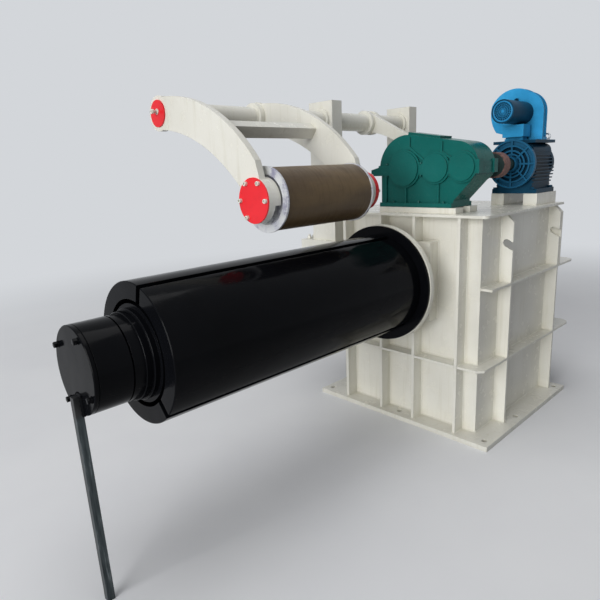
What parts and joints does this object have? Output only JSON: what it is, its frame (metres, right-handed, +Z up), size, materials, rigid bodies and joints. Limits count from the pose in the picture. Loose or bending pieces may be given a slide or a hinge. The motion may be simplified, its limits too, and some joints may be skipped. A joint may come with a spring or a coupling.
{
  "type": "strip coiler with hold-down arm",
  "caption": "Powered overhung coiler for steel strip: expanding drum on a ribbed pedestal, reducer drive on top, swinging hold-down roll arm.",
  "frame": {"origin": "on the floor at the middle of the base plate, straight under the mandrel's axis", "axes": "+Z up, mandrel's free end towards -Y, hold-down arm's pivot on the -X side"},
  "size_m": [1.361, 2.924, 1.795],
  "materials": {
    "cream_paint": "satin",
    "black_paint": "gloss",
    "bar_steel": "bare",
    "red_paint": "satin",
    "roll_steel": "turned",
    "white_paint": "satin",
    "brown_rubber": "matt",
    "green_paint": "gloss",
    "coupling_steel": "rough",
    "blue_paint": "gloss"
  },
  "bodies": {
    "pedestal": {"base_plate": "cream_paint", "front_wall": "cream_paint", "rear_wall": "cream_paint", "side_walls": "cream_paint", "top_deck": "cream_paint", "lower_shelf": "cream_paint", "upper_shelf": "cream_paint", "tail_cover": "cream_paint", "front_ribs": "cream_paint", "hook_ribs": "cream_paint", "rear_gussets": "cream_paint", "bearing_block": "cream_paint", "bearing_ring": "cream_paint", "end_cap": "black_paint", "floor_bar": "bar_steel", "post_bracket": "cream_paint", "front_post": "cream_paint", "rear_post": "cream_paint", "reducer_seat": "cream_paint", "reducer_base": "green_paint", "reducer_lid": "green_paint", "reducer_covers": "green_paint", "motor_seats": "cream_paint", "motor_frame": "blue_paint", "motor_grille": "blue_paint", "blower_housing": "blue_paint", "blower_motor": "blue_paint"},
    "mandrel": {"mandrel_shaft": "black_paint", "stop_disc": "black_paint", "end_ring": "black_paint"},
    "segment_1": {"drum_segment_1": "black_paint"},
    "segment_2": {"drum_segment_2": "black_paint"},
    "segment_3": {"drum_segment_3": "black_paint"},
    "hold_down_arm": {"pivot_shaft": "cream_paint", "front_arm": "cream_paint", "rear_arm": "cream_paint", "shaft_collars": "cream_paint", "tie_beam": "cream_paint", "lever": "cream_paint", "arm_covers": "red_paint"},
    "hold_down_roll": {"roll_core": "roll_steel", "roll_discs": "white_paint", "roll_rubber": "brown_rubber"},
    "drive_coupling": {"coupling": "coupling_steel"}
  },
  "joints": [
    {"name": "mandrel_spin", "type": "hinge", "parent": "pedestal", "child": "mandrel", "pos_m": [0, -1.3, 0.813], "axis": [0, -1, 0], "continuous": true},
    {"name": "segment_1_slide", "type": "slide", "parent": "mandrel", "child": "segment_1", "axis": [-0.9703, 0, -0.2419], "range_m": [0, 0.012]},
    {"name": "segment_2_slide", "type": "slide", "parent": "mandrel", "child": "segment_2", "axis": [0.2756, 0, 0.9613], "range_m": [0, 0.012]},
    {"name": "segment_3_slide", "type": "slide", "parent": "mandrel", "child": "segment_3", "axis": [0.6947, 0, -0.7193], "range_m": [0, 0.012]},
    {"name": "arm_swing", "type": "hinge", "parent": "pedestal", "child": "hold_down_arm", "pos_m": [-0.62, -0.4, 1.686], "axis": [0, -1, 0], "range_deg": [-8, 40]},
    {"name": "roll_spin", "type": "hinge", "parent": "hold_down_arm", "child": "hold_down_roll", "pos_m": [0.039, -1.13, 1.296], "axis": [0, -1, 0], "continuous": true},
    {"name": "coupling_spin", "type": "hinge", "parent": "pedestal", "child": "drive_coupling", "pos_m": [0.334, 0, 1.386], "axis": [0, -1, 0], "continuous": true}
  ],
  "couplings": [
    {"joint": "segment_2_slide", "follows": "segment_1_slide", "ratio": 1},
    {"joint": "segment_3_slide", "follows": "segment_1_slide", "ratio": 1},
    {"joint": "coupling_spin", "follows": "mandrel_spin", "ratio": 31.5}
  ]
}
